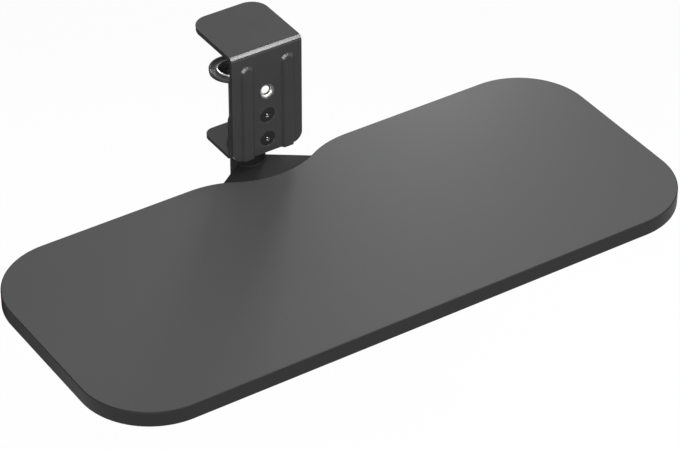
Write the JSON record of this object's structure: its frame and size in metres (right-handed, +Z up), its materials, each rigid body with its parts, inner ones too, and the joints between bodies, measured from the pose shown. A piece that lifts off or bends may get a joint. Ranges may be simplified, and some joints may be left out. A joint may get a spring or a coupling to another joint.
{
  "type": "clamp-on swivel keyboard tray",
  "caption": "Long rounded tray board on a vertical swivel hub, hung from a folded and ribbed steel clamp whose press discs screw up against the underside of a desk top.",
  "frame": {"origin": "on the swivel axis, at the underside of the upper jaw's pad, where it lies on the desk top", "axes": "+X to the user's right along the board, +Y in under the desk and away from the user, +Z up along the swivel axis"},
  "size_m": [0.71, 0.3925, 0.19],
  "materials": {
    "powder_coat": "fine textured black powder coat, satin",
    "plated_steel": "bright zinc plate",
    "black_oxide": "black oxide, lightly oiled",
    "rubber": "matt black foam rubber",
    "nylon": "natural moulded nylon",
    "cap_plastic": "black moulded plastic",
    "chipboard": "raw particle board",
    "board_laminate": "matt black laminate with a fine grain",
    "edge_band": "black edge band with a rounded arris"
  },
  "bodies": {
    "clamp": {"upper_bracket": "powder_coat", "jaw_pad": "rubber", "lower_bracket": "powder_coat", "bracket_screws": "black_oxide", "bracket_nuts": "powder_coat", "clamp_nuts": "powder_coat", "pivot_bolt": "plated_steel", "pivot_sleeve": "plated_steel", "thrust_washer": "nylon", "pivot_washer": "plated_steel", "pivot_nut": "plated_steel"},
    "left_press": {"left_press_disc": "powder_coat", "left_press_pad": "rubber"},
    "left_screw": {"left_clamp_screw": "black_oxide"},
    "right_press": {"right_press_disc": "powder_coat", "right_press_pad": "rubber"},
    "right_screw": {"right_clamp_screw": "black_oxide"},
    "tray": {"pivot_hub": "powder_coat", "upper_bushing": "nylon", "lower_bushing": "nylon", "hub_cap": "cap_plastic", "support_plate": "powder_coat", "board_core": "chipboard", "top_laminate": "board_laminate", "bottom_laminate": "board_laminate", "edge_band": "edge_band", "board_screws": "black_oxide", "board_inserts": "plated_steel"}
  },
  "joints": [
    {"name": "tray_swivel", "type": "hinge", "parent": "clamp", "child": "tray", "pos_m": [0, 0, -0.15], "axis": [0, 0, 1], "continuous": true},
    {"name": "left_press_feed", "type": "slide", "parent": "clamp", "child": "left_press", "axis": [0, 0, 1], "range_m": [-0.02, 0]},
    {"name": "left_screw_turn", "type": "hinge", "parent": "left_press", "child": "left_screw", "pos_m": [-0.0255, -0.0125, -0.08], "axis": [0, 0, 1], "range_deg": [-5761, 0]},
    {"name": "right_press_feed", "type": "slide", "parent": "clamp", "child": "right_press", "axis": [0, 0, 1], "range_m": [-0.02, 0]},
    {"name": "right_screw_turn", "type": "hinge", "parent": "right_press", "child": "right_screw", "pos_m": [0.0255, -0.0125, -0.08], "axis": [0, 0, 1], "range_deg": [-5761, 0]}
  ],
  "couplings": [
    {"joint": "left_screw_turn", "follows": "left_press_feed", "rad_per_m": 5026.5},
    {"joint": "right_screw_turn", "follows": "right_press_feed", "rad_per_m": 5026.5}
  ]
}
